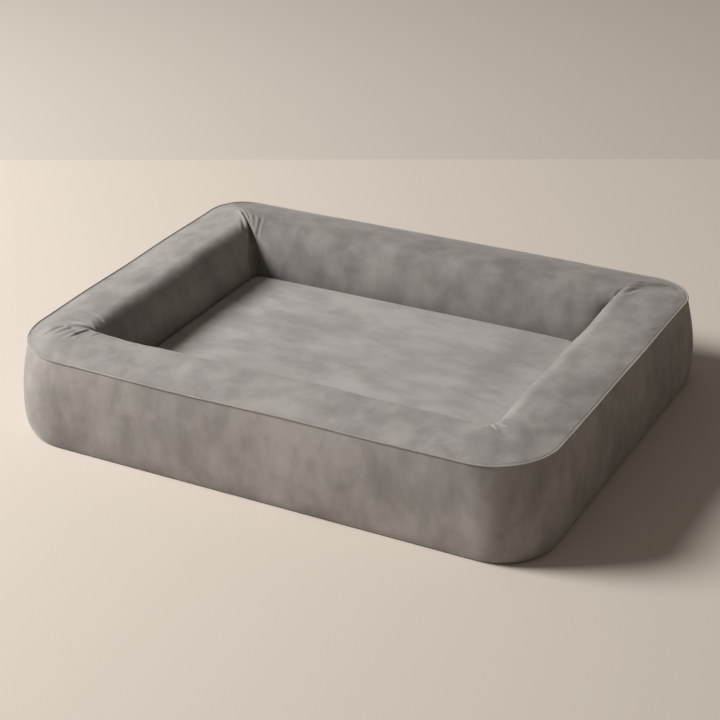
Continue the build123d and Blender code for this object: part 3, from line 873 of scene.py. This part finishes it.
def border_of(points):
    """The rim of a grid, once round, as indices."""
    rows, columns = points.shape[:2]
    index = np.arange(rows * columns).reshape(rows, columns)
    return np.concatenate([index[:-1, 0], index[-1, :-1], index[:0:-1, -1], index[0, :0:-1]])


top_x, top_y = cushion_grid()
top = np.stack([top_x, top_y, cushion_height(top_x, top_y)], -1)
top_faces = grid_faces(*top.shape[:2])
pad_top = piece("pad_top_cover", top.reshape(-1, 3), top_faces, pad_suede, "sleep_pad", "cover_cloth")
give_thickness(pad_top, CLOTH)
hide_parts("pad_top_panel")

# The border hangs from the rim of the top and meets the rim of the underside.
rim = top.reshape(-1, 3)[border_of(top)]
pad_slot_middle = (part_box("pad_zip_coil_lower")[0].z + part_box("pad_zip_coil_upper")[1].z) / 2
pad_slot_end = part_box("pad_zip_tape_upper")[1].x
foot_height = pad_low.z + PAD_FOOT_ROUND
slot_top, slot_bottom = pad_slot_middle + SLOT_HALF, pad_slot_middle - SLOT_HALF
levels = [rim[:, 2] * (1 - share) + slot_top * share for share in np.linspace(0, 1, 12)]
levels += [np.full(len(rim), height) for height in np.linspace(slot_bottom, foot_height, 8)]
border = np.stack([np.stack([rim[:, 0], rim[:, 1], level], 1) for level in levels], 1)
middle = (border + np.roll(border, -1, 0))[:, :-1] / 4 + (border + np.roll(border, -1, 0))[:, 1:] / 4
in_pad_slot = (middle[..., 1] > pad_half[1] - 3 * MM) & (np.abs(middle[..., 0]) < pad_slot_end)
in_pad_slot = in_pad_slot & (np.abs(middle[..., 2] - pad_slot_middle) < SLOT_HALF)
pad_border = piece(
    "pad_border_cover",
    border.reshape(-1, 3),
    grid_faces(*border.shape[:2], closed=True, keep=~in_pad_slot)[:, ::-1],
    pad_suede,
    "sleep_pad",
    "cover_cloth",
)
give_thickness(pad_border, CLOTH)
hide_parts("pad_border")

under_x, under_y = cushion_grid(120, 80)
under_gap = np.maximum(edge_distance(under_x, under_y), 0)
under = np.stack([under_x, under_y, pad_low.z + rounded_drop(under_gap, PAD_FOOT_ROUND)], -1)
under_faces = grid_faces(*under.shape[:2])[:, ::-1]
pad_under = piece(
    "pad_underside", under.reshape(-1, 3), under_faces, pad_base_cloth, "sleep_pad", "pad_base_cloth"
)
give_thickness(pad_under, CLOTH)
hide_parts("pad_bottom_panel")


def cushion_layer(name, replaced, inset, below_cover, floor_z, ceiling_z, material, slot):
    """A closed block inside the cushion: flat below, following the cushion's top or flat at a ceiling."""
    x, y = cushion_grid(88, 58, inset)
    cover_z = cushion_height(x * pad_half[0] / (pad_half[0] - inset), y * pad_half[1] / (pad_half[1] - inset))
    upper = np.minimum(cover_z - below_cover, ceiling_z)
    lower = np.full_like(x, floor_z)
    points = np.concatenate([np.stack([x, y, z], -1).reshape(-1, 3) for z in (upper, lower)])
    edge = border_of(upper)
    over, below = grid_faces(*x.shape), grid_faces(*x.shape)[:, ::-1] + x.size
    after = np.roll(edge, -1)
    walls = np.stack([edge, after, after + x.size, edge + x.size], 1)[:, ::-1]
    made = piece(name, points, [*over, *below, *walls], material, "sleep_pad", slot)
    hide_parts(replaced)
    return made


liner_low, foam_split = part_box("pad_liner")[0].z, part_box("pad_memory_foam")[0].z
foam_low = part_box("pad_support_foam")[0].z
LINER_INSET, FOAM_INSET = 7.5 * MM, 8.6 * MM
LINER_THICKNESS = 0.5 * MM
REST_GAP = 0.2 * MM        # between a layer's flat underside and what it lies on
SPLIT_GAP = 0.3 * MM       # between the two foams
NO_CEILING = 1.0
liner = cushion_layer(
    "waterproof_liner", "pad_liner",
    LINER_INSET, 2.6 * MM, liner_low + REST_GAP, NO_CEILING, liner_knit, "liner_film",
)
give_thickness(liner, LINER_THICKNESS)
cushion_layer(
    "top_foam", "pad_memory_foam",
    FOAM_INSET, 3.6 * MM, foam_split, NO_CEILING, memory_cells, "memory_foam",
)
cushion_layer(
    "support_foam", "pad_support_foam",
    FOAM_INSET, 4.0 * MM, foam_low + REST_GAP, foam_split - SPLIT_GAP, support_cells, "foam",
)


# ---- zips ----
COIL_PITCH, COIL_LEAN, COIL_THREAD = 1.7 * MM, 0.3 * MM, 0.42 * MM
LOOP_STEPS, THREAD_SIDES = 10, 5


def coil_teeth(low, high):
    """One half of a coil zip: a row of round loops, each leaning a little."""
    count = int((high.x - low.x) / COIL_PITCH)
    middle = (low + high) / 2
    reach_y, reach_z = (high.y - low.y) / 2 - COIL_THREAD, (high.z - low.z) / 2 - COIL_THREAD
    points, faces = [], []
    for number in range(count):
        x = low.x + (number + 0.5) * COIL_PITCH
        base = len(points)
        for a in np.linspace(0, 2 * math.pi, LOOP_STEPS, endpoint=False):
            out = np.array([0, math.cos(a), math.sin(a)])
            centre = (x, middle.y, middle.z) + np.array([COIL_LEAN, reach_y, 0]) * math.cos(a)
            centre = centre + (0, 0, reach_z * math.sin(a))
            for b in np.linspace(0, 2 * math.pi, THREAD_SIDES, endpoint=False):
                points.append(centre + COIL_THREAD * (math.cos(b) * out + (math.sin(b), 0, 0)))
        for i in range(LOOP_STEPS):
            here, there = base + i * THREAD_SIDES, base + (i + 1) % LOOP_STEPS * THREAD_SIDES
            for j in range(THREAD_SIDES):
                k = (j + 1) % THREAD_SIDES
                faces.append((here + j, here + k, there + k, there + j))
    return points, faces


for zip_name, body in (("cover_zip", "surround"), ("pad_zip", "sleep_pad")):
    for half in ("upper", "lower"):
        loops = coil_teeth(*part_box(f"{zip_name}_coil_{half}"))
        teeth = piece(f"{zip_name}_teeth_{half}", *loops, coil_nylon, body, "zip_coil")
        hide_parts(f"{zip_name}_coil_{half}")

# ---- carried-over solids ----
FINISHES = {
    "tape": zip_tape_cloth,
    "stops": zip_metal,
    "slider": zip_metal,
    "pull": zip_metal,
    "bolster_foam": support_cells,
}
for name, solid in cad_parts.items():
    for word, material in FINISHES.items():
        if word in name and not solid.hide_render:
            solid.data.materials.clear()
            solid.data.materials.append(material)
            break
    if name.endswith(("slider", "pull", "stops")):
        bevel = solid.modifiers.new("worn edges", "BEVEL")
        bevel.width = 0.25 * MM
        bevel.segments = 3
        bevel.limit_method = "ANGLE"
        bevel.angle_limit = math.radians(40)

# ---- floor, light and camera ----
TARGET = Vector((0.02, -0.03, 0.1))
AZIMUTH, ELEVATION, DISTANCE = 29.5, 27.3, 3.13
ROLL = -1.9
LENS = 90.75
turn, rise = math.radians(AZIMUTH), math.radians(ELEVATION)
back_way = Vector((math.sin(turn) * math.cos(rise), -math.cos(turn) * math.cos(rise), math.sin(rise)))
level_back = Vector((math.sin(turn), -math.cos(turn), 0))
level_right = Vector((math.cos(turn), math.sin(turn), 0))
WALL_DISTANCE = 1.22  # the paler ground begins this far behind the bed
WALL_SWING = -5.0
GROUND_REACH, GROUND_WIDTH = 12, 9

# Rolled on, then left matt: the floor shows no gleam, only the bed's soft shadow.
floor_paint = start_material(
    "matt pale floor paint", {"Roughness": 0.9, "Base Color": linear("#CCC2B7"), "Specular IOR Level": 0.2}
)[0]
# The same paint, a shade greyer: the ground further back reads as a quiet backdrop.
far_paint = start_material(
    "matt pale wall paint", {"Roughness": 0.9, "Base Color": linear("#C2BAB0"), "Specular IOR Level": 0.2}
)[0]


def flat_quad(name, corners, material):
    """One flat piece of the ground under the bed."""
    mesh = bpy.data.meshes.new(name)
    mesh.from_pydata([tuple(c) for c in corners], [], [(0, 1, 2, 3)])
    mesh.materials.append(material)
    made = bpy.data.objects.new(name, mesh)
    bpy.context.scene.collection.objects.link(made)
    return made


foot = TARGET - level_back * WALL_DISTANCE
foot.z = 0
swing = Matrix.Rotation(math.radians(WALL_SWING), 3, "Z")
reach = swing @ (level_right * GROUND_WIDTH)
near_edge, far_edge = foot + level_back * GROUND_REACH, foot - level_back * GROUND_REACH
flat_quad("floor", [foot - reach, near_edge - reach, near_edge + reach, foot + reach], floor_paint)
flat_quad("floor_beyond", [far_edge - reach, foot - reach, foot + reach, far_edge + reach], far_paint)


def area_light(name, towards, distance, size, watts, colour):
    """A soft light in that direction from the bed, facing it."""
    data = bpy.data.lights.new(name, "AREA")
    data.shape = "DISK"
    data.size = size
    data.energy = watts
    data.color = linear(colour)[:3]
    lamp = bpy.data.objects.new(name, data)
    bpy.context.scene.collection.objects.link(lamp)
    lamp.location = TARGET + towards.normalized() * distance
    lamp.rotation_euler = towards.to_track_quat("Z", "Y").to_euler()
    return lamp


area_light("key", Vector((-0.9, -0.36, 0.74)), 5.6, 2.1, 478, "#FFFFFF")
world = bpy.data.worlds.new("studio")
bpy.context.scene.world = world
world.use_nodes = True
world.node_tree.nodes["Background"].inputs["Color"].default_value = linear("#F2E6D8")
world.node_tree.nodes["Background"].inputs["Strength"].default_value = 0.19
bpy.context.scene.view_settings.view_transform = "Standard"

camera_data = bpy.data.cameras.new("camera")
camera_data.lens = LENS
camera_data.sensor_width = 36
camera = bpy.data.objects.new("camera", camera_data)
bpy.context.scene.collection.objects.link(camera)
camera.location = TARGET + back_way * DISTANCE
facing = back_way.to_track_quat("Z", "Y").to_matrix().to_4x4()
tilt = Matrix.Rotation(math.radians(ROLL), 4, "Z")
camera.matrix_world = Matrix.Translation(camera.location) @ facing @ tilt
bpy.context.scene.camera = camera
